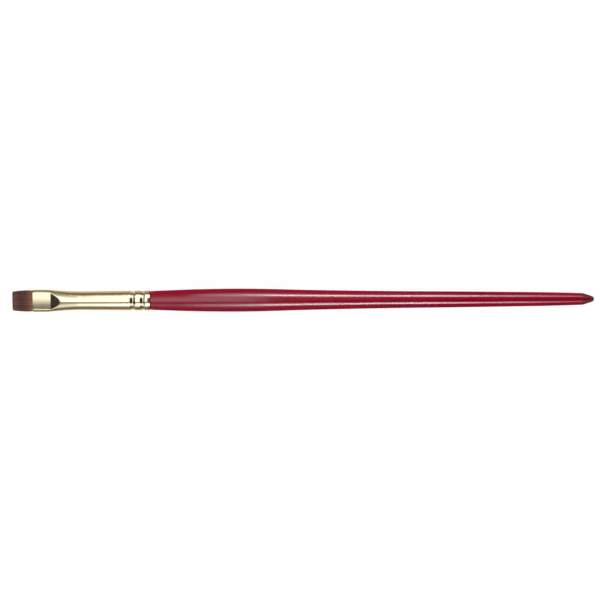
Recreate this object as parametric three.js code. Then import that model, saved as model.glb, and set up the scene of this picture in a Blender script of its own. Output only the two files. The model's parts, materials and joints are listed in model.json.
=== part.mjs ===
// A long-handled flat artist's brush: a pressed metal ferrule holds a tuft of synthetic hair and is
// crimped to a turned, lacquered handle. It lies as it rests on a table, on its belly and its tail.
// Millimetres, +Z up, +X from the hair towards the tail of the handle, +Y across the flat of the hair.
import * as THREE from "three";

// ---- Driving dimensions, in mm. A station is a distance along the axis from the tip of the hair. ----
const OVERALL = 285;
const GAP = 0.3; // between pieces that touch on the real brush

const HAIR_OUT = 10.1; // hair in front of the ferrule
const TIP_HALF_WIDTH = 4.62;
const TIP_HALF_THICKNESS = 0.28;
const TIP_CORNER = 0.55; // how far the corners of the tip are rounded in
const TIP_CORNER_LENGTH = 0.8;
const TIP_FULLNESS = 0.8; // exponent of the growth in thickness: under 1 makes the faces convex
const MOUTH_HAIR_HALF_WIDTH = 5.27;
const HAIR_SQUARENESS = 3.4; // exponent of the tuft's superellipse section
const HINGE_AHEAD = 0.9; // the hair bends about a line this far in front of the ferrule's mouth
const KNUCKLE_RADIUS = 1.65; // half the thickness of the tuft at that line
const KNUCKLE_HALF_WIDTH = 4.7; // the part that turns inside the ferrule's mouth
const NECK_LENGTH = 1.3; // over which the tuft narrows to it
const KNUCKLE_TURNS = [25, 45, 65, 80]; // degrees round the knuckle

const FERRULE_LENGTH = 57.3;
const WALL = 0.35;
const FLAT_LENGTH = 8.65; // planar faces, from the mouth to the crease
const FLAT_HALF_HEIGHT = 2.13;
const MOUTH_HALF_WIDTH = 5.42;
const MOUTH_ARC_HALF_HEIGHT = 2.96; // of the ellipse that the flats cut
const PRESS_LENGTH = 7.5; // from the mouth to where the tube starts to open out
const OPENING_LENGTH = 16.4; // from there to where it is round
const OPENING_POWER = 1.9; // how quickly it opens: higher is quicker at the start
const RAMP_SLOPE = 0.3475; // rise of the faces behind the crease
const TUBE_RADIUS = 4.49; // where the tube has become round
const TUBE_TAPER = 0.009; // growth of that radius per millimetre
const RIM_RADIUS = 4.8; // the bead and the rim behind the first crimp
const CRIMPS = [
  { start: 57.5, bottom: 59.1, end: 60.5, radius: 4.32 },
  { start: 62.4, bottom: 64.1, end: 65.1, radius: 4.46 },
];

const ROOT_LENGTH = 22.5; // hair inside the ferrule
const BUTT_RADIUS = 3.1; // the hair where it is tied
const THREAD_START = 28.9;
const THREAD_TURNS = 4;
const THREAD_DIAMETER = 0.5;
const WAIST_DEPTH = 0.25; // how far the thread draws the hair in
const WAIST_MARGIN = 0.3;
const PLUG_START = 31.2;
const PLUG_LENGTH = 7.3;
const PLUG_DISH = 0.7; // the cured surface is hollow

const TENON_LENGTH = 22.4; // the handle inside the ferrule
const TENON_CHAMFER = 0.8;
const SHOULDER_RADIUS = 4.62; // the handle at the ferrule's rim
const SHOULDER_EDGE = 0.15;
// Station and radius along the handle, from the belly's rise to the start of the tail cone.
const BELLY = [111.6, 5.63];
const HANDLE_OUTLINE = [
  [75, 4.88],
  [86, 5.3],
  [98, 5.54],
  BELLY,
  [121, 5.52],
  [141, 4.99],
  [170, 4.42],
  [190, 4.14],
  [215, 3.93],
  [240, 3.64],
  [264, 3.3],
  [275, 3.02],
];
const TAIL = [279, 2.88];
const CONE_LENGTH = 4.4;
const CONE_HALF_ANGLE = THREE.MathUtils.degToRad(18);
const NOSE_RADIUS = 1.5;

const TUBE_SIDES = 40; // even, with a facet, not an edge, at the top and at the bottom
const HAIR_SIDES = 32;
const HANDLE_SIDES = 12; // few enough that the handle lies still and doesn't roll
const HANDLE_STEPS = 36;
const OPENING_STEPS = 12;
const ARC_STEPS = 5;

// ---- Stations that follow from them ----
const MOUTH = HAIR_OUT;
const CREASE = MOUTH + FLAT_LENGTH;
const OPENING = MOUTH + PRESS_LENGTH;
const ROUND = OPENING + OPENING_LENGTH;
const RIM = MOUTH + FERRULE_LENGTH;
const HINGE = MOUTH - HINGE_AHEAD;
const NECK = HINGE - NECK_LENGTH;
const KNUCKLE_END = HINGE + KNUCKLE_RADIUS;
const ROOT_START = KNUCKLE_END + GAP;
const BUTT = MOUTH + ROOT_LENGTH;
const THREAD_END = THREAD_START + THREAD_TURNS * THREAD_DIAMETER;
const SHOULDER = RIM + GAP;

const { clamp, degToRad, lerp } = THREE.MathUtils;

// Even steps from a to b, both included.
const steps = (a, b, count) => Array.from({ length: count + 1 }, (_, i) => lerp(a, b, i / count));

// How far a station is along the stretch from a to b, from 0 to 1.
const along = (station, a, b) => clamp((station - a) / (b - a), 0, 1);

// ---- Shapes ----

// The solid that a profile of [station, radius] pairs sweeps about the X axis.
function turned(profile, sides) {
  const points = profile.map(([station, radius]) => new THREE.Vector2(radius, station));
  return new THREE.LatheGeometry(points, sides, Math.PI / sides).rotateZ(-Math.PI / 2);
}

// Moves each point of a turned blank to shape(station, sine, cosine, radius), which gives its Y and Z.
// Sine and cosine are of the point's turn from the top.
function pressed(blank, shape) {
  const position = blank.getAttribute("position");
  for (let i = 0; i < position.count; i++) {
    const [station, y, z] = [position.getX(i), position.getY(i), position.getZ(i)];
    const radius = Math.hypot(y, z);
    if (radius > 0) position.setXYZ(i, station, ...shape(station, y / radius, z / radius, radius));
  }
  return blank;
}

// The ferrule's outside radius before pressing: a slight cone, then the bead and rim, with the crimps.
function tubeRadius(station) {
  const cone = TUBE_RADIUS + TUBE_TAPER * Math.max(0, station - ROUND);
  const plain = station < CRIMPS[0].bottom ? cone : RIM_RADIUS;
  const crimp = CRIMPS.find(({ start, end }) => station > start && station < end);
  if (!crimp) return plain;
  const reach = station < crimp.bottom ? crimp.bottom - crimp.start : crimp.end - crimp.bottom;
  const depth = (1 + Math.cos((Math.PI * (station - crimp.bottom)) / reach)) / 2;
  return lerp(plain, crimp.radius, depth);
}

// The pressed ferrule's section at a station: an ellipse cut by two flats, which lie at the same height
// up to the crease and then rise as a ramp. The inset is the depth below the outside surface.
function ferruleSection(station, sine, cosine, inset) {
  const opened = 1 - (1 - along(station, OPENING, ROUND)) ** OPENING_POWER;
  const round = tubeRadius(station);
  const halfWidth = lerp(MOUTH_HALF_WIDTH, round, opened) - inset;
  const halfHeight = lerp(MOUTH_ARC_HALF_HEIGHT, round, opened) - inset;
  const flat = FLAT_HALF_HEIGHT + RAMP_SLOPE * Math.max(0, station - CREASE) - inset;
  return [halfWidth * sine, clamp(halfHeight * cosine, -flat, flat)];
}

// A blank turned in the ferrule's round shape, pressed as the ferrule is at the same depth.
function pressedAsFerrule(profile) {
  return pressed(turned(profile, TUBE_SIDES), (station, sine, cosine, radius) =>
    ferruleSection(station, sine, cosine, tubeRadius(station) - radius),
  );
}

function ferrule() {
  const crimpStations = CRIMPS.flatMap(({ start, bottom, end }) => [
    ...steps(start, bottom, 4),
    ...steps(bottom, end, 4).slice(1),
  ]);
  const stations = [MOUTH, OPENING, ...steps(CREASE, ROUND, OPENING_STEPS), ...crimpStations, RIM];
  const outside = stations.map((station) => [station, tubeRadius(station)]);
  const inside = stations.map((station) => [station, tubeRadius(station) - WALL]).reverse();
  return pressedAsFerrule([...outside, ...inside, outside[0]]);
}

// The tuft in front of the ferrule. Its section is a superellipse, which narrows to a chisel edge at the
// tip and ends in a round knuckle about the line that it bends on.
function tuft() {
  const body = [0, 0.25, TIP_CORNER_LENGTH, 2, 3.5, 5, 6.5, NECK, NECK + NECK_LENGTH / 2, HINGE].map(
    (station) => [station, lerp(TIP_HALF_THICKNESS, KNUCKLE_RADIUS, along(station, 0, HINGE) ** TIP_FULLNESS)],
  );
  const knuckle = KNUCKLE_TURNS.map(degToRad).map((turn) => [
    HINGE + KNUCKLE_RADIUS * Math.sin(turn),
    KNUCKLE_RADIUS * Math.cos(turn),
  ]);
  const blank = turned([[0, 0], ...body, ...knuckle, [KNUCKLE_END, 0]], HAIR_SIDES);
  const bulge = (value) => Math.sign(value) * Math.abs(value) ** (2 / HAIR_SQUARENESS);
  return pressed(blank, (station, sine, cosine, radius) => {
    const corner = TIP_CORNER * (1 - along(station, 0, TIP_CORNER_LENGTH)) ** 2;
    const spread = lerp(TIP_HALF_WIDTH, MOUTH_HAIR_HALF_WIDTH, along(station, 0, HINGE)) - corner;
    const halfWidth = lerp(spread, KNUCKLE_HALF_WIDTH, along(station, NECK, HINGE - NECK_LENGTH / 2));
    return [halfWidth * bulge(sine), radius * bulge(cosine)];
  });
}

// The same hair inside the ferrule: pressed with it at the mouth, round and tied at its butt.
function tuftRoot() {
  const gathered = THREAD_START - 2;
  const inset = (station) => lerp(WALL + GAP, TUBE_RADIUS - BUTT_RADIUS, along(station, CREASE, gathered));
  const skin = (waist) => (station) => [station, tubeRadius(station) - inset(station) - waist];
  return pressedAsFerrule([
    [ROOT_START, 0],
    ...[...steps(ROOT_START, CREASE, 3), ...steps(CREASE, gathered, 6).slice(1)].map(skin(0)),
    skin(0)(THREAD_START - WAIST_MARGIN),
    skin(WAIST_DEPTH)(THREAD_START),
    skin(WAIST_DEPTH)(THREAD_END),
    skin(0)(THREAD_END + WAIST_MARGIN),
    skin(0)(BUTT),
    [BUTT, 0],
  ]);
}

// The turns of thread round the butt, side by side, as one ring with a rounded ridge for each turn.
function bindingThread() {
  const inside = BUTT_RADIUS - WAIST_DEPTH + GAP;
  const ridge = (turn) =>
    steps(0, Math.PI, 4)
      .slice(1, -1)
      .map((angle) => [
        THREAD_START + THREAD_DIAMETER * (turn + 0.5 - Math.cos(angle) / 2),
        inside + THREAD_DIAMETER * ((1 + Math.sin(angle)) / 2),
      ]);
  const ridges = steps(0, THREAD_TURNS - 1, THREAD_TURNS - 1).flatMap(ridge);
  return pressedAsFerrule([[THREAD_START, inside], ...ridges, [THREAD_END, inside], [THREAD_START, inside]]);
}

// The slug of cured resin behind the hair, with a socket for the butt and a hollow back.
function epoxyPlug() {
  const outside = TUBE_RADIUS - WALL - GAP;
  const socket = BUTT_RADIUS + GAP;
  const back = PLUG_START + PLUG_LENGTH;
  return turned(
    [
      [BUTT + GAP, 0],
      [BUTT + GAP, socket],
      [PLUG_START, socket],
      [PLUG_START, outside - GAP / 2],
      [ROUND, outside],
      [back, outside],
      [back - PLUG_DISH / 2, outside / 2],
      [back - PLUG_DISH, 0],
    ],
    TUBE_SIDES,
  );
}

// The turned handle: a tenon that the crimps bite into, a shoulder, the belly, the long taper, and a
// cone with a round nose. Its faces, not its edges, lie at the true radius.
function handle() {
  const front = RIM - TENON_LENGTH;
  const tenonRadius = (station) => tubeRadius(Math.min(station, RIM)) - WALL - GAP;
  const bites = CRIMPS.flatMap(({ start, bottom, end }) => [...steps(start, bottom, 2), end]);
  const tenonStations = [front + TENON_CHAMFER, ...bites, SHOULDER];
  const shoulder = [SHOULDER + SHOULDER_EDGE, SHOULDER_RADIUS];
  const outline = [shoulder, ...HANDLE_OUTLINE, TAIL].map(([x, y]) => new THREE.Vector2(x, y));
  const skin = new THREE.SplineCurve(outline).getSpacedPoints(HANDLE_STEPS).map(({ x, y }) => [x, y]);
  const nose = steps(CONE_HALF_ANGLE, Math.PI / 2, ARC_STEPS).map((angle) => [
    OVERALL - NOSE_RADIUS * (1 - Math.sin(angle)),
    NOSE_RADIUS * Math.cos(angle),
  ]);
  const [coneEnd] = nose;
  const coneStart = [coneEnd[0] - CONE_LENGTH, coneEnd[1] + CONE_LENGTH * Math.tan(CONE_HALF_ANGLE)];
  const profile = [
    [front, 0],
    [front, tenonRadius(front) - TENON_CHAMFER],
    ...tenonStations.map((station) => [station, tenonRadius(station)]),
    [SHOULDER, SHOULDER_RADIUS - SHOULDER_EDGE],
    ...skin,
    coneStart,
    ...nose.slice(0, -1),
    [OVERALL, 0],
  ];
  const edge = 1 / Math.cos(Math.PI / HANDLE_SIDES);
  return turned(profile.map(([station, radius]) => [station, radius * edge]), HANDLE_SIDES);
}

// ---- Materials ----
function finish(color, roughness, metalness = 0) {
  return new THREE.MeshStandardMaterial({ color, roughness, metalness });
}
const RED_LACQUER = finish("#8a0d27", 0.22);
const PALE_GOLD = finish("#d8c391", 0.18, 1);
const BROWN_HAIR = finish("#5d3a30", 0.55);
const HAIR_BUTT = finish("#4a2f28", 0.7);
const WHITE_THREAD = finish("#d9d3c4", 0.9);
const AMBER_RESIN = finish("#b98a3c", 0.25);

// ---- Assembly ----
const PIECES = [
  ["handle", handle(), RED_LACQUER],
  ["ferrule", ferrule(), PALE_GOLD],
  ["tuft", tuft(), BROWN_HAIR],
  ["tuft_root", tuftRoot(), HAIR_BUTT],
  ["binding_thread", bindingThread(), WHITE_THREAD],
  ["epoxy_plug", epoxyPlug(), AMBER_RESIN],
];

const brush = new THREE.Group();
for (const [name, geometry, material] of PIECES) {
  const mesh = new THREE.Mesh(geometry, material);
  mesh.name = name;
  brush.add(mesh);
}

// The brush leans back until its belly and the start of its tail cone both touch the table, and the
// origin is under the middle of it.
brush.rotation.y = Math.atan2(BELLY[1] - TAIL[1], TAIL[0] - BELLY[0]);
brush.updateMatrixWorld(true);
const box = new THREE.Box3().setFromObject(brush, true);
brush.position.set(-(box.min.x + box.max.x) / 2, 0, -box.min.z);

const part = new THREE.Group();
part.add(brush);
export default part;
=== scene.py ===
"""The looks of a long-handled flat artist's brush: a tuft made hair by hair, a ferrule pressed flat at its
mouth and crimped to the handle, and a turned handle under claret lacquer.

Sizes are in millimetres and meshes in metres. A station is a distance along the brush's axis from the tip
of the hair. Y runs across the flat of the hair, and Z is up.
"""

import json
import math

import bpy
import numpy as np
from mathutils import Matrix


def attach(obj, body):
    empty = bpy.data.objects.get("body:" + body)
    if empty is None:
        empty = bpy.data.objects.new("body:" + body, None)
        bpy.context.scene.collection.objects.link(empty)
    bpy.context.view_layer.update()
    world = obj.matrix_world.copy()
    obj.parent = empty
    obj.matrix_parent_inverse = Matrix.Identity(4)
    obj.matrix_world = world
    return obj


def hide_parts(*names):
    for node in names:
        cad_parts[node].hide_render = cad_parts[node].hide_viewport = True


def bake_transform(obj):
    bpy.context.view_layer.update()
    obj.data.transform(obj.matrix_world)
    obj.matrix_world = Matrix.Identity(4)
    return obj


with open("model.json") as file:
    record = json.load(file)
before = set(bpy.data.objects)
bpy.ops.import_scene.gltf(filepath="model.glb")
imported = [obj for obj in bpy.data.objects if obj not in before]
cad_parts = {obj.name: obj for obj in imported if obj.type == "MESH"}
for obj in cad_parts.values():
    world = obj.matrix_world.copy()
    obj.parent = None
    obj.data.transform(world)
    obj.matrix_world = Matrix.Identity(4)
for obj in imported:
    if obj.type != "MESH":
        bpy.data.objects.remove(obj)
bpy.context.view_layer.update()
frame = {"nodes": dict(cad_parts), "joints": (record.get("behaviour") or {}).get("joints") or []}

MM = 0.001

# ---- Sizes of the brush ----
OVERALL = 285
GAP = 0.3  # between the ferrule's rim and the handle's shoulder
MOUTH = 10.1  # the hair in front of the ferrule
HINGE = 9.2  # the line that the hair bends about

HAIR_COUNT = 2300  # that the pitch is worked out for; the close rows fit in a ninth more
HAIR_SIDES = 4
HAIR_RADIUS = 0.052
HAIR_TIP_RADIUS = 0.014
HAIR_TAPER = 6.5  # the length over which a hair thins towards its tip
HAIR_TAPER_POWER = 0.7
HAIR_STRAYING = (0.085, 0.05)  # of a tip, across the tuft and through it
TIP_HALF_WIDTH = 4.62
TIP_HALF_THICKNESS = 0.28
WIDEST = 8.6  # station where the tuft is widest
WIDEST_HALF_WIDTH = 5.24
MOUTH_HALF_WIDTH_OF_HAIR = 4.98
MOUTH_HALF_THICKNESS_OF_HAIR = 1.69
TIP_FULLNESS = 0.8  # exponent of the growth in thickness: under 1 makes the faces convex
HAIR_SQUARENESS = 3.4  # exponent of the tuft's superellipse section
SECTION_SHARE = 0.9  # of its box, that the section fills
ROW_SPACING = 0.9  # of the rows of hairs, in pitches
JITTER = 0.22  # of a hair's place, in pitches
CORNER_ROUNDING = 0.6  # how much shorter the hairs at the tuft's two edges are
CORNER_WIDTH = 0.16  # share of the half width over which they get shorter
TIP_UNEVENNESS = 0.13
TIP_SETBACK = 0.05  # of the longest hair from the tip's station

BUTT = 32.6
BUTT_RADIUS = 3.05
SPREADING = 16.6  # station behind which the tuft goes from flat to round
THREAD_START = 28.9
THREAD_TURNS = 4
THREAD_DIAMETER = 0.5
WAIST_DEPTH = 0.25  # how far the thread draws the hair in
PLY_SIZE = 0.86  # mean radius of the thread's two-lobed section, as a share of the thread's
PLY_DEPTH = 0.12  # how far the lobes stand out
PLY_TWIST = 5  # lobes that pass in a turn of thread

RIM = 67.4
WALL = 0.35
CREASE = 18.75  # station where the flat faces end and the ramps start
CREASE_ROUNDING = 0.5
CREASE_ROWS = 0.6  # reach of the close rows on both sides of the crease
RAMP_END = 27
FLAT_HALF_HEIGHT = 2.13
FLAT_CROWN = 0.0112  # fall of a flat face per square millimetre off its middle
FLAT_EDGE_ROUNDING = 0.16
MOUTH_HALF_WIDTH = 5.42
MOUTH_ARC_HALF_HEIGHT = 2.96  # of the ellipse that the flats cut
OPENING = 17.6  # station where the tube starts to open out
ROUND = 34.0  # station where it has become round
OPENING_POWER = 1.9
RAMP_SLOPE = 0.3475
TUBE_RADIUS = 4.49
TUBE_TAPER = 0.009
RIM_RADIUS = 4.8
CRIMP_MARGIN = 0.3
CRIMPS = (  # start, bottom, end, radius at the bottom
    (57.5, 59.1, 60.5, 4.32),
    (62.4, 64.1, 65.1, 4.46),
)

TENON_START = 45.0
TENON_CHAMFER = 0.8
CEMENT = 0.06  # film between the tenon and the ferrule
SHOULDER = RIM + GAP
SHOULDER_RADIUS = 4.62
SHOULDER_ROUNDING = 0.22
BELLY = (111.6, 5.63)
TAIL = (279.0, 2.88)
HANDLE_OUTLINE = (  # station and radius
    (SHOULDER, SHOULDER_RADIUS),
    (75, 4.88),
    (86, 5.3),
    (98, 5.54),
    BELLY,
    (121, 5.52),
    (141, 4.99),
    (170, 4.42),
    (190, 4.14),
    (215, 3.93),
    (240, 3.64),
    (264, 3.3),
    (275, 3.02),
    TAIL,
)
CONE_LEAD = 2  # length in front of the cone where the rows are already close
CONE_HALF_ANGLE = math.radians(18)
CONE_ROUNDING = 0.3  # softness of the edge where the cone starts
NOSE_RADIUS = 1.5
TUBE_SIDES = 192
HANDLE_SIDES = 96
THREAD_SIDES = 12
THREAD_STEPS = 64  # in a turn

TILT = math.atan2(BELLY[1] - TAIL[1], TAIL[0] - BELLY[0])  # it lies on its belly and its tail
HINGE_POINT = np.array(frame["joints"][0]["pos_m"])


# ---- Shapes ----
def place(station, y, z):
    """The frame's points, in metres, for stations, Y and Z in millimetres: the brush is turned by its tilt
    about the hinge line, which is carried to the hinge point."""
    ahead = station - HINGE
    x = math.cos(TILT) * ahead + math.sin(TILT) * z
    up = math.cos(TILT) * z - math.sin(TILT) * ahead
    return HINGE_POINT + MM * np.stack(np.broadcast_arrays(x, y, up), axis=-1)


def along(station, start, end):
    """How far a station is from start to end, from 0 to 1."""
    return np.clip((station - start) / (end - start), 0, 1)


def eased(share):
    """A share from 0 to 1 that starts and ends gently: 3 t squared minus 2 t cubed."""
    return share * share * (3 - 2 * share)


def mixed(a, b, share):
    return a + (b - a) * share


def soft_min(a, b, rounding):
    """The smaller of a and b, with the corner where they cross rounded off by a parabola."""
    overlap = np.maximum(rounding - np.abs(a - b), 0)
    return np.minimum(a, b) - overlap**2 / (4 * rounding)


def smooth_through(station, knots):
    """A smooth curve through (station, value) knots: a cubic between each two, whose slopes at its ends are
    the mean slopes of the neighbouring stretches."""
    at, value = np.array(knots, float).T
    slope = np.gradient(value, at)
    i = np.clip(np.searchsorted(at, station, side="right") - 1, 0, len(at) - 2)
    width = at[i + 1] - at[i]
    t = (station - at[i]) / width
    start = (1 + 2 * t) * (1 - t) ** 2 * value[i] + t * (1 - t) ** 2 * width * slope[i]
    end = t**2 * (3 - 2 * t) * value[i + 1] - t**2 * (1 - t) * width * slope[i + 1]
    return start + end


def arc(start, end, count):
    """Angles from start to end, in radians, both left out."""
    return np.linspace(start, end, count + 2)[1:-1]


def grid_faces(rows, columns, ring):
    """The quads of a grid whose columns close round the axis. In a ring the last row joins the first."""
    row = np.arange(rows if ring else rows - 1)[:, None]
    column = np.arange(columns)[None, :]
    next_row, next_column = (row + 1) % rows, (column + 1) % columns
    corners = [(row, column), (next_row, column), (next_row, next_column), (row, next_column)]
    return np.stack([r * columns + c for r, c in corners], axis=-1).reshape(-1, 4)


def cap_faces(rows, columns):
    """The two fans that close a grid at its ends, round the two points that follow the grid's own."""
    column = np.arange(columns)
    following = (column + 1) % columns
    last = (rows - 1) * columns
    front = np.stack([np.full(columns, rows * columns), column, following], axis=-1)
    back = np.stack([np.full(columns, rows * columns + 1), last + following, last + column], axis=-1)
    return front, back


def piece_from(name, points, faces, material):
    """A piece of the brush with these points, faces and material, smooth-shaded."""
    mesh = bpy.data.meshes.new(name)
    mesh.from_pydata(points.reshape(-1, 3).tolist(), [], faces, shade_flat=False)
    mesh.materials.append(material)
    piece = bpy.data.objects.new(name, mesh)
    bpy.context.scene.collection.objects.link(piece)
    return piece


def ring_piece(name, points, material):
    """A tube with a wall: a grid of points closed both round the axis and along its profile."""
    rows, columns = points.shape[:2]
    return piece_from(name, points, grid_faces(rows, columns, True).tolist(), material)


def capped_piece(name, points, front, back, material):
    """A solid: a grid of points round the axis, closed by a fan to a point at each end."""
    rows, columns = points.shape[:2]
    front_fan, back_fan = cap_faces(rows, columns)
    faces = grid_faces(rows, columns, False).tolist() + front_fan.tolist() + back_fan.tolist()
    every = np.concatenate([points.reshape(-1, 3), [front, back]])
    return piece_from(name, every, faces, material)


# ---- Ferrule ----
def tube_radius(station):
    """The ferrule's outside radius before pressing: a slight cone, then the bead and the rim behind the
    first crimp. Each crimp is half a cosine wave down and half a wave up, of its own lengths."""
    cone = TUBE_RADIUS + TUBE_TAPER * np.maximum(0, station - ROUND)
    radius = np.where(station < CRIMPS[0][1], cone, RIM_RADIUS)
    for start, bottom, end, lowest in CRIMPS:
        reach = np.where(station < bottom, bottom - start, end - bottom)
        depth = (1 + np.cos(math.pi * np.clip((station - bottom) / reach, -1, 1))) / 2
        radius = mixed(radius, lowest, depth)
    return radius


def pressed_section(station, turn, inset):
    """Y and Z on the ferrule at a station and a turn from the top, at a depth below its outside: an ellipse
    that opens into a circle, cut by two crowned flats, which rise as ramps behind the crease."""
    opened = 1 - (1 - along(station, OPENING, ROUND)) ** OPENING_POWER
    radius = tube_radius(station)
    y = (mixed(MOUTH_HALF_WIDTH, radius, opened) - inset) * np.sin(turn)
    arch = (mixed(MOUTH_ARC_HALF_HEIGHT, radius, opened) - inset) * np.abs(np.cos(turn))
    behind_crease = -soft_min(0 * station, CREASE - station, CREASE_ROUNDING)
    flat = FLAT_HALF_HEIGHT + RAMP_SLOPE * behind_crease - FLAT_CROWN * y**2 - inset
    return y, np.sign(np.cos(turn)) * soft_min(arch, flat, FLAT_EDGE_ROUNDING)


def ferrule(material):
    """The pressed tube. Its profile runs along the outside, round the rim, back along the inside and round
    the mouth's lip, and each point of it is carried round the pressed section."""
    lip = WALL / 2
    crimp_rows = [
        np.linspace(start - CRIMP_MARGIN, end + CRIMP_MARGIN, 28) for start, bottom, end, lowest in CRIMPS
    ]
    outside = np.unique(
        np.concatenate(
            [
                np.linspace(MOUTH + lip, CREASE - CREASE_ROWS, 16),
                np.linspace(CREASE - CREASE_ROWS, CREASE + CREASE_ROWS, 17),
                np.linspace(CREASE + CREASE_ROWS, RAMP_END, 40),
                np.linspace(RAMP_END, CRIMPS[0][0] - CRIMP_MARGIN, 56),
                *crimp_rows,
                [RIM - lip],
            ]
        )
    )
    inside = outside[::-3]
    bend = arc(0, math.pi, 5)
    station = np.concatenate(
        [outside, RIM - lip + lip * np.sin(bend), inside, MOUTH + lip - lip * np.sin(bend)]
    )
    turned_in = lip * (1 - np.cos(bend))
    inset = np.concatenate([0 * outside, turned_in, 0 * inside + WALL, turned_in[::-1]])
    turn = np.linspace(0, 2 * math.pi, TUBE_SIDES, endpoint=False)
    y, z = pressed_section(station[:, None], turn[None, :], inset[:, None])
    return ring_piece("pressed_ferrule", place(station[:, None], y, z), material)


# ---- Handle ----
def handle_profile():
    """Stations and radii of the turned handle: the tenon that the crimps bite into, the shoulder, the belly
    and the long taper, the cone, and the round nose."""
    tenon_end = CRIMPS[0][0]
    tenon = np.concatenate(
        [np.linspace(TENON_START + TENON_CHAMFER, tenon_end, 12), np.linspace(tenon_end, SHOULDER, 48)]
    )
    tenon_radius = tube_radius(np.minimum(tenon, RIM)) - WALL - CEMENT
    edge = arc(0, math.pi / 2, 4)
    rounding = SHOULDER_ROUNDING
    shoulder = SHOULDER + rounding * (1 - np.cos(edge))
    shoulder_radius = SHOULDER_RADIUS - rounding * (1 - np.sin(edge))
    skin = np.linspace(SHOULDER + rounding, TAIL[0] - CONE_LEAD, 190)
    nose_turn = np.linspace(CONE_HALF_ANGLE, math.pi / 2, 14)[:-1]
    nose = OVERALL - NOSE_RADIUS * (1 - np.sin(nose_turn))
    nose_radius = NOSE_RADIUS * np.cos(nose_turn)
    tail = np.linspace(TAIL[0] - CONE_LEAD, nose[0], 30)[1:-1]
    cone = nose_radius[0] + (nose[0] - tail) * math.tan(CONE_HALF_ANGLE)
    taper = smooth_through(np.minimum(tail, TAIL[0]), HANDLE_OUTLINE)
    station = np.concatenate([[TENON_START], tenon, shoulder, skin, tail, nose])
    radius = np.concatenate(
        [
            tenon_radius[:1] - TENON_CHAMFER,
            tenon_radius,
            shoulder_radius,
            smooth_through(skin, HANDLE_OUTLINE),
            soft_min(taper, cone, CONE_ROUNDING),
            nose_radius,
        ]
    )
    return station, radius


def handle(material):
    """The handle's profile turned about the axis."""
    station, radius = handle_profile()
    turn = np.linspace(0, 2 * math.pi, HANDLE_SIDES, endpoint=False)
    y = radius[:, None] * np.sin(turn)
    z = radius[:, None] * np.cos(turn)
    front, back = place(np.array([TENON_START, OVERALL]), 0, 0)
    return capped_piece("turned_handle", place(station[:, None], y, z), front, back, material)


# ---- Tuft ----
def tuft_half_size(station):
    """Half the width and half the thickness of the tuft in front of and inside the ferrule's mouth."""
    width = np.where(
        station < WIDEST,
        mixed(TIP_HALF_WIDTH, WIDEST_HALF_WIDTH, np.sin(along(station, 0, WIDEST) * math.pi / 2)),
        mixed(WIDEST_HALF_WIDTH, MOUTH_HALF_WIDTH_OF_HAIR, eased(along(station, WIDEST, MOUTH))),
    )
    grown = along(station, 0, MOUTH) ** TIP_FULLNESS
    return width, mixed(TIP_HALF_THICKNESS, MOUTH_HALF_THICKNESS_OF_HAIR, grown)


def hair_places(rng):
    """The hairs' places in the tuft's unit section, from -1 to 1 each way: a jittered hexagonal packing,
    kept where it falls inside a superellipse."""
    half_width, half_thickness = MOUTH_HALF_WIDTH_OF_HAIR, MOUTH_HALF_THICKNESS_OF_HAIR
    pitch = math.sqrt(4 * half_width * half_thickness * SECTION_SHARE / HAIR_COUNT)
    row = pitch * ROW_SPACING
    down, across = np.mgrid[-half_thickness:half_thickness:row, -half_width:half_width:pitch]
    across = across + pitch / 2 * (np.arange(len(down))[:, None] % 2)
    u = (across + rng.normal(0, JITTER * pitch, across.shape)).ravel() / half_width
    v = (down + rng.normal(0, JITTER * pitch, down.shape)).ravel() / half_thickness
    kept = np.abs(u) ** HAIR_SQUARENESS + np.abs(v) ** HAIR_SQUARENESS <= 1
    return u[kept], v[kept]


def hair_route(u, v, station):
    """Y and Z of hairs at their stations: their place in the flat section up to where the tuft spreads, and
    from there a gentle curve to their place in the round, tied butt, drawn in at the thread."""
    half_width, half_thickness = tuft_half_size(station)
    out = (np.abs(u) ** HAIR_SQUARENESS + np.abs(v) ** HAIR_SQUARENESS) ** (1 / HAIR_SQUARENESS)
    length = np.hypot(u, v) + 1e-9
    waist = along(station, THREAD_START - 1, THREAD_START) - along(station, BUTT - 1.4, BUTT)
    round_radius = (BUTT_RADIUS - WAIST_DEPTH * waist) * out / length
    spread = eased(along(station, SPREADING, THREAD_START))
    y = mixed(half_width * u, round_radius * u, spread)
    return y, mixed(half_thickness * v, round_radius * v, spread)


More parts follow.
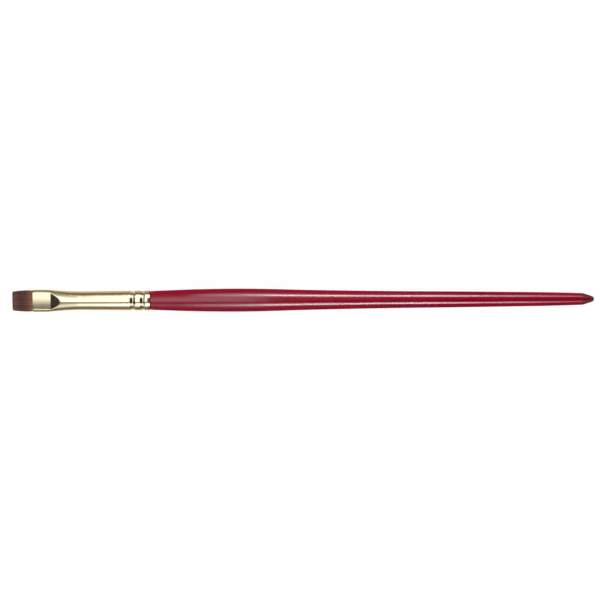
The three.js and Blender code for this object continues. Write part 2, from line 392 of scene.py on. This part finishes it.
def hairs(name, u, v, rng, material):
    """A bundle of tapered hairs, each from its own tip to the butt. Its rings are closer towards the tip.
    The mesh carries, at each point, how far it is from the mouth to the tip (reach), and the hair's own
    shade, which is half chance and half the clump it is in: a sine wave across the tuft that is bent by a
    slower one."""
    count = len(u)
    edge = np.clip((np.abs(u) - (1 - CORNER_WIDTH)) / CORNER_WIDTH, 0, 1) ** 2
    tip = CORNER_ROUNDING * edge + np.abs(rng.normal(0, TIP_UNEVENNESS, count)) + TIP_SETBACK
    outside = mixed(tip[:, None], MOUTH, np.linspace(0, 1, 9)[None, :] ** 1.15)
    rings_inside = [14.0, SPREADING, 19.5, 22.5, 26, THREAD_START, THREAD_START + 2, BUTT]
    inside = np.broadcast_to(rings_inside, (count, len(rings_inside)))
    station = np.concatenate([outside, inside], axis=1)
    y, z = hair_route(u[:, None], v[:, None], station)
    free = along(station, MOUTH, 0) ** 1.6
    y = y + free * rng.normal(0, HAIR_STRAYING[0], (count, 1))
    z = z + free * rng.normal(0, HAIR_STRAYING[1], (count, 1))
    thick = along(station - tip[:, None], 0, HAIR_TAPER) ** HAIR_TAPER_POWER
    radius = mixed(HAIR_TIP_RADIUS, HAIR_RADIUS, thick)
    turn = np.arange(HAIR_SIDES) * math.pi * 2 / HAIR_SIDES + rng.random((count, 1, 1)) * math.pi
    ring_y = y[..., None] + radius[..., None] * np.sin(turn)
    ring_z = z[..., None] + radius[..., None] * np.cos(turn)
    rings = place(station[..., None], ring_y, ring_z)
    rows = station.shape[1]
    end = np.arange(HAIR_SIDES)
    far_end = end[::-1] + (rows - 1) * HAIR_SIDES
    one = np.concatenate([grid_faces(rows, HAIR_SIDES, False), [end], [far_end]])
    faces = (one[None] + (np.arange(count) * rows * HAIR_SIDES)[:, None, None]).reshape(-1, HAIR_SIDES)
    piece = piece_from(name, rings, faces.tolist(), material)
    clump = 0.5 + 0.5 * np.sin(19 * u + 2.1 * np.sin(9.3 * u + 1.7) + 2.4 * v)
    shade = np.clip(0.5 * rng.random(count) + 0.5 * clump, 0, 1)
    shades = np.broadcast_to(shade[:, None], station.shape)
    for label, values in (("reach", along(station, MOUTH, 0)), ("shade", shades)):
        attribute = piece.data.attributes.new(label, "FLOAT", "POINT")
        attribute.data.foreach_set("value", np.repeat(values.astype(np.float32).ravel(), HAIR_SIDES))
    return piece


# ---- Thread ----
def thread(material):
    """The turns of thread round the butt: a helix of two plies twisted together, whose section has two
    lobes that turn as the thread runs."""
    steps = THREAD_TURNS * THREAD_STEPS
    turned = np.linspace(0, THREAD_TURNS * 2 * math.pi, steps)
    station = THREAD_START + THREAD_DIAMETER * (0.25 + (THREAD_TURNS - 0.5) * turned / turned[-1])
    middle = BUTT_RADIUS - WAIST_DEPTH + HAIR_RADIUS + THREAD_DIAMETER / 2
    around = np.linspace(0, 2 * math.pi, THREAD_SIDES, endpoint=False)[None, :]
    lobes = THREAD_DIAMETER / 2 * (PLY_SIZE + PLY_DEPTH * np.cos(2 * around - PLY_TWIST * turned[:, None]))
    radius = middle + lobes * np.cos(around)
    points = place(
        station[:, None] - lobes * np.sin(around),
        radius * np.sin(turned)[:, None],
        radius * np.cos(turned)[:, None],
    )
    ends = points[[0, -1]].mean(axis=1)
    return capped_piece("tying_thread", points, ends[0], ends[1], material)


# ---- Materials ----
class Link:
    """An output in a node tree, on which arithmetic adds Math nodes."""

    def __init__(self, recipe, socket):
        self.recipe = recipe
        self.socket = socket

    def _math(self, operation, a, b):
        return self.recipe.node("ShaderNodeMath", {"operation": operation}, {0: a, 1: b})

    def __add__(self, other):
        return self._math("ADD", self, other)

    def __sub__(self, other):
        return self._math("SUBTRACT", self, other)

    def __mul__(self, other):
        return self._math("MULTIPLY", self, other)

    def __truediv__(self, other):
        return self._math("DIVIDE", self, other)

    def __rsub__(self, other):
        return self._math("SUBTRACT", other, self)

    __radd__ = __add__
    __rmul__ = __mul__


class Recipe:
    """A node tree, built from expressions."""

    def __init__(self, tree):
        self.tree = tree
        self.tree.nodes.clear()

    def node(self, kind, settings=None, sockets=None, output=0):
        """A node of this kind with its settings, and with its sockets' values or links."""
        made = self.tree.nodes.new(kind)
        for label, value in (settings or {}).items():
            if label == "stops":
                self._set_stops(made.color_ramp, value)
            else:
                setattr(made, label, value)
        for label, value in (sockets or {}).items():
            socket = made.inputs[label]
            if isinstance(value, Link):
                self.tree.links.new(value.socket, socket)
            elif hasattr(socket.default_value, "__len__") and len(socket.default_value) > len(value):
                socket.default_value = (*value, 1)
            else:
                socket.default_value = value
        return Link(self, made.outputs[output]) if made.outputs else None

    @staticmethod
    def _set_stops(ramp, stops):
        while len(ramp.elements) < len(stops):
            ramp.elements.new(1)
        for element, (position, color) in zip(ramp.elements, stops):
            element.position = position
            element.color = (*color, 1)

    def brush_space(self):
        """Object coordinates turned so that X runs along the brush's axis."""
        coordinates = self.node("ShaderNodeTexCoord", output="Object")
        return self.node("ShaderNodeMapping", {}, {"Vector": coordinates, "Rotation": (0, -TILT, 0)})

    def split(self, vector):
        """The three coordinates of a vector."""
        separated = self.node("ShaderNodeSeparateXYZ", {}, {"Vector": vector})
        return [Link(self, output) for output in separated.socket.node.outputs]

    def noise(self, vector, per_metre, detail=2, roughness=0.5):
        """Noise from 0 to 1, with this many features per metre along X, Y and Z."""
        scaled = self.node("ShaderNodeVectorMath", {"operation": "MULTIPLY"}, {0: vector, 1: per_metre})
        values = {"Vector": scaled, "Scale": 1, "Detail": detail, "Roughness": roughness}
        return self.node("ShaderNodeTexNoise", {}, values)

    def contrast(self, value, low, high):
        """The value's range from low to high, spread to 0 to 1 with soft ends."""
        settings = {"interpolation_type": "SMOOTHSTEP"}
        values = {"Value": value, "From Min": low, "From Max": high}
        return self.node("ShaderNodeMapRange", settings, values)

    def size(self, value):
        """The value without its sign."""
        return self.node("ShaderNodeMath", {"operation": "ABSOLUTE"}, {0: value})

    def bell(self, value, centre, spread):
        """1 at the centre, falling off both ways: e to the minus square of the distance over the spread."""
        away = (value - centre) / spread
        return self.node("ShaderNodeMath", {"operation": "EXPONENT"}, {0: away * away * -1.0})

    def blend(self, share, a, b, how="MIX"):
        """Colour a going to colour b, or to a times b where how is MULTIPLY."""
        settings = {"data_type": "RGBA", "blend_type": how}
        factor, first, second = 0, 6, 7  # the Mix node's sockets for colours
        return self.node("ShaderNodeMix", settings, {factor: share, first: a, second: b}, output=2)

    def bump(self, height, strength, distance):
        """A normal bent by a height."""
        values = {"Height": height, "Strength": strength, "Distance": distance}
        return self.node("ShaderNodeBump", {}, values)

    def attribute(self, label):
        return self.node("ShaderNodeAttribute", {"attribute_name": label}, output="Fac")

    def surface(self, sockets):
        """Finishes a material with a Principled surface."""
        shader = self.node("ShaderNodeBsdfPrincipled", {}, sockets)
        self.node("ShaderNodeOutputMaterial", {}, {"Surface": shader})


def new_material(name):
    """An empty material, and the recipe that fills it."""
    material = bpy.data.materials.new(name)
    material.use_nodes = True
    return material, Recipe(material.node_tree)


def claret_lacquer():
    """Gloss lacquer over stained wood. The long grain shows through as darker and redder streaks, and the
    film has sunk into it a little, so that highlights run along the handle slightly broken. The cone is
    made rougher, and its colour is painted darker as painted shade where its highlights fade."""
    material, recipe = new_material("claret_lacquer")
    space = recipe.brush_space()
    streaks = recipe.contrast(recipe.noise(space, (28, 1500, 1500), 4, 0.62), 0.32, 0.68)
    figure = recipe.noise(space, (9, 330, 330), 2)
    pores = recipe.contrast(recipe.noise(space, (320, 6200, 6200), 1), 0.62, 0.76)
    x = recipe.split(space)[0]
    # the cone, which is made rougher and painted darker: painted shade where its highlights fade
    cone = recipe.contrast(x, place(TAIL[0] - 1.5, 0, 0)[0], place(TAIL[0] + 2, 0, 0)[0])
    red = recipe.blend(streaks, (0.27, 0.001, 0.019), (0.44, 0.002, 0.034))
    toned = recipe.blend(recipe.contrast(figure, 0.35, 0.7), red, (0.33, 0.001, 0.024))
    stained = recipe.blend(pores * 0.4, toned, (0.09, 0.001, 0.006))
    # painted shade: the cone's colour is darkened towards a dull dark red
    color = recipe.blend(cone * 0.85, stained, (0.15, 0.007, 0.017))
    relief = streaks * 0.8 + figure * 0.6 - pores * 0.12
    recipe.surface(
        {
            "Base Color": color,
            "Roughness": 0.055 + 0.06 * streaks + 0.2 * cone,
            "IOR": 1.58,
            "Normal": recipe.bump(relief, 0.27, 0.00003),
        }
    )
    return material


def gold_anodising():
    """Polished and anodised aluminium: a pale gold mirror, with faint scratches round the tube from
    polishing and a slightly uneven gloss."""
    material, recipe = new_material("gold_anodising")
    space = recipe.brush_space()
    scratches = recipe.noise(space, (9000, 260, 260), 3, 0.7)
    cloud = recipe.noise(space, (160, 240, 240), 3)
    ripple = recipe.noise(space, (90, 420, 420), 1)
    recipe.surface(
        {
            "Base Color": recipe.blend(cloud, (0.86, 0.76, 0.51), (0.92, 0.82, 0.58)),
            "Metallic": 1.0,
            "Specular Tint": (1.0, 0.78, 0.45),
            "Roughness": 0.12 + 0.1 * cloud,
            "Normal": recipe.bump(scratches * 0.12 + ripple, 0.25, 0.00004),
        }
    )
    return material


def brown_hair():
    """Synthetic hair: golden brown at the ferrule, dark in the middle and redder at the thin tips, with
    every hair its own shade. The dark middle is painted shade, laid into the colour along the hair."""
    material, recipe = new_material("brown_hair")
    # the ramp's dark middle stops are painted shade
    stops = (  # from the mouth of the ferrule to the tip
        (0.0, (0.74, 0.33, 0.13)),
        (0.12, (0.6, 0.23, 0.12)),
        (0.32, (0.3, 0.12, 0.09)),
        (0.62, (0.25, 0.1, 0.085)),
        (0.84, (0.46, 0.18, 0.13)),
        (1.0, (0.72, 0.31, 0.23)),
    )
    ramp = recipe.node("ShaderNodeValToRGB", {"stops": stops}, {"Fac": recipe.attribute("reach")})
    dark = recipe.blend(1.0, ramp, (0.4, 0.38, 0.38), "MULTIPLY")
    color = recipe.blend(recipe.attribute("shade"), dark, ramp)
    recipe.surface({"Base Color": color, "Roughness": 0.42, "IOR": 1.5})
    return material


def cotton_thread():
    """Undyed cotton: fine fibres along the plies, with painted shade where they dip."""
    material, recipe = new_material("cotton_thread")
    fibres = recipe.noise(recipe.brush_space(), (5200, 5200, 5200), 3)
    # painted shade: darker where the fibres' bump is low
    color = recipe.blend(fibres, (0.5, 0.44, 0.33), (0.8, 0.75, 0.64))
    recipe.surface({"Base Color": color, "Roughness": 0.9, "Normal": recipe.bump(fibres, 0.5, 0.00004)})
    return material


def amber_resin():
    """Cured resin: amber with cloudy depth and a few small bubbles under a glossy skin."""
    material, recipe = new_material("amber_resin")
    space = recipe.brush_space()
    cloud = recipe.noise(space, (420, 420, 420), 3)
    bubbles = recipe.contrast(recipe.noise(space, (2600, 2600, 2600), 0), 0.68, 0.74)
    amber = recipe.blend(cloud, (0.33, 0.15, 0.025), (0.56, 0.31, 0.07))
    color = recipe.blend(bubbles * 0.5, amber, (0.75, 0.6, 0.35))
    recipe.surface({"Base Color": color, "Roughness": 0.16 + 0.1 * cloud})
    return material


# ---- Studio ----
# Directions are in degrees. Across is the angle of a direction from straight up towards +Y, as it is seen
# along the brush, and lengthwise is its angle towards +X. Radiances are relative: 1 shows as white.
OVERHEAD = {"radiance": 1.6, "near": (-16, 0), "far": (67, 23), "left": (-33, -29), "right": (3.7, 2.6)}
GLOWS = ((0.88, -50, 25), (0.2, 70, 20))  # radiance, across and spread, on the near and the far side
LAMP = ((12, 5.2, 2.6), (3.2, 8.5, 5.5))  # radiance, lengthwise and spread
LAMPS = ((1, -43.5, 8), (1.15, 59.5, 7.5))  # share of the lamp, across and spread
HALO = {"lengthwise": ((3.04, 1.5, 7), (1.12, 22, 12)), "from": (-5.0, -2.6)}
HALOS = ((1.1, -43.5, 13), (1.15, 61, 17))
ROOM = {"dim": 0.028, "walls": 0.48, "lengthwise": (18, 32), "across": (42, 58)}

TABLE_REACH = 6.0
TABLE_DROP = 0.00002  # below the brush, which would otherwise share points with it
TABLE_GLOW = 0.9
TABLE_BESIDE = {"ferrule": (0.66, 0.54, 0.37), "handle": (0.1, 0.04, 0.045)}  # as the brush mirrors it
TABLE_AWAY = (0.12, 0.11, 0.1)
TABLE_FADE = (0.01, 0.036)  # distances from the brush's axis between which the mirrored table darkens

CAMERA_DISTANCE = 1.0
CAMERA_LEAN = math.radians(8.5)  # from overhead towards +Y
CAMERA_ROLL = math.radians(0.063)
CAMERA_AIM = (-0.00183, 0.0003, 0.006)
FIELD_WIDTH = 0.29365  # what the picture's width takes in at the brush
SENSOR = 36


def studio_light(recipe):
    """The light that comes from each direction: a broad soft box overhead, with a glow on both sides of it,
    a compact lamp with a halo on each side of the camera, and a dim room with paler walls towards its
    corners."""
    direction = recipe.node("ShaderNodeTexCoord", output="Generated")
    x, y, z = recipe.split(direction)
    degrees = 180 / math.pi
    lengthwise = recipe.node("ShaderNodeMath", {"operation": "ARCSINE"}, {0: x}) * degrees
    across = recipe.node("ShaderNodeMath", {"operation": "ARCTAN2"}, {0: y, 1: z}) * degrees
    box = recipe.contrast(across, *OVERHEAD["near"]) * recipe.contrast(across, *OVERHEAD["far"])

    def bells(value, parts):
        return sum(level * recipe.bell(value, at, spread) for level, at, spread in parts)

    window = recipe.contrast(lengthwise, *OVERHEAD["left"]) * recipe.contrast(lengthwise, *OVERHEAD["right"])
    overhead = (OVERHEAD["radiance"] * box + bells(across, GLOWS)) * window
    lamps = bells(lengthwise, LAMP) * bells(across, LAMPS)
    halos = bells(lengthwise, HALO["lengthwise"]) * bells(across, HALOS)
    halos *= recipe.contrast(lengthwise, *HALO["from"])
    walls = recipe.contrast(recipe.size(lengthwise), *ROOM["lengthwise"])
    walls *= recipe.contrast(recipe.size(across), *ROOM["across"])
    return overhead + lamps + halos + ROOM["dim"] + ROOM["walls"] * walls


def surroundings():
    """The world: the studio's light for what it lights and mirrors, and white where it is seen."""
    world = bpy.data.worlds.new("studio")
    world.use_nodes = True
    recipe = Recipe(world.node_tree)
    seen = recipe.node("ShaderNodeLightPath", output="Is Camera Ray")
    strength = seen + (1 - seen) * studio_light(recipe)
    white = (1, 1, 1)
    light = recipe.node("ShaderNodeBackground", {}, {"Color": white, "Strength": strength})
    recipe.node("ShaderNodeOutputWorld", {}, {"Surface": light})
    bpy.context.scene.world = world


def light_table():
    """The floor: a lit white table, so that only a breath of shadow shows on it. What the brush mirrors of
    it is dimmer, and beside the brush it has the colour of the light that comes off the ferrule and the
    handle."""
    material, recipe = new_material("light_table")
    place_on_table = recipe.node("ShaderNodeTexCoord", output="Object")
    mottle = recipe.noise(place_on_table, (30, 30, 30), 2)
    paper = recipe.blend(mottle, (0.19, 0.19, 0.19), (0.21, 0.21, 0.21))
    white = {"Base Color": paper, "Roughness": 0.9, "Specular IOR Level": 0.0}
    white |= {"Emission Color": (1, 1, 1), "Emission Strength": TABLE_GLOW}
    x, y = recipe.split(place_on_table)[:2]
    rim = place(RIM, 0, 0)[0]
    behind_rim = recipe.contrast(x, rim - MM, rim + MM)
    beside = recipe.blend(behind_rim, TABLE_BESIDE["ferrule"], TABLE_BESIDE["handle"])
    away = recipe.contrast(recipe.size(y), *TABLE_FADE)
    mirrored = {"Color": recipe.blend(away, beside, TABLE_AWAY)}
    shaders = {
        0: recipe.node("ShaderNodeLightPath", output="Is Glossy Ray"),
        1: recipe.node("ShaderNodeBsdfPrincipled", {}, white),
        2: recipe.node("ShaderNodeEmission", {}, mirrored),
    }
    surface = recipe.node("ShaderNodeMixShader", {}, shaders)
    recipe.node("ShaderNodeOutputMaterial", {}, {"Surface": surface})
    mesh = bpy.data.meshes.new("light_table")
    corners = [(x * TABLE_REACH, y * TABLE_REACH, 0) for x, y in ((-1, -1), (1, -1), (1, 1), (-1, 1))]
    mesh.from_pydata(corners, [], [(0, 1, 2, 3)])
    mesh.materials.append(material)
    table = bpy.data.objects.new("light_table", mesh)
    table.location.z = -TABLE_DROP
    bpy.context.scene.collection.objects.link(table)


def camera():
    """A long lens above the brush, leaning a little over its far side."""
    data = bpy.data.cameras.new("camera")
    data.sensor_width = SENSOR
    data.lens = SENSOR * CAMERA_DISTANCE / FIELD_WIDTH
    made = bpy.data.objects.new("camera", data)
    back = np.array([0, math.sin(CAMERA_LEAN), math.cos(CAMERA_LEAN)])
    level_up = np.array([0, math.cos(CAMERA_LEAN), -math.sin(CAMERA_LEAN)])
    level_right = np.array([1.0, 0, 0])
    right = math.cos(CAMERA_ROLL) * level_right - math.sin(CAMERA_ROLL) * level_up
    up = math.sin(CAMERA_ROLL) * level_right + math.cos(CAMERA_ROLL) * level_up
    matrix = np.eye(4)
    matrix[:3, :3] = np.stack([right, up, back], axis=1)
    matrix[:3, 3] = np.array(CAMERA_AIM) + CAMERA_DISTANCE * back
    made.matrix_world = Matrix(matrix.tolist())
    bpy.context.scene.collection.objects.link(made)
    bpy.context.scene.camera = made


# ---- Assembly ----
def assemble():
    """Makes the pieces, hides the parts that they stand for, and puts the handle, ferrule and thread on the
    brush's body.
    """
    lacquer, gold, hair = claret_lacquer(), gold_anodising(), brown_hair()
    rigid = [
        (handle(lacquer), "handle", "lacquered_wood"),
        (ferrule(gold), "ferrule", "anodised_aluminium"),
        (thread(cotton_thread()), "binding_thread", "thread"),
    ]
    for piece, node, slot in rigid:
        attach(piece, "brush")
        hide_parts(node)
    rng = np.random.default_rng(7)
    u, v = hair_places(rng)
    mouth, tip = place(np.array([MOUTH, 0]), 0, 0)
    for name, half in (("hair_upper_half", v >= 0), ("hair_lower_half", v < 0)):
        piece = hairs(name, u[half], v[half], rng, hair)
        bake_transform(piece)
        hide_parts("tuft", "tuft_root")
    plug = frame["nodes"]["epoxy_plug"].data
    plug.materials.clear()
    plug.materials.append(amber_resin())


assemble()
light_table()
surroundings()
camera()
bpy.context.scene.view_settings.view_transform = "Standard"
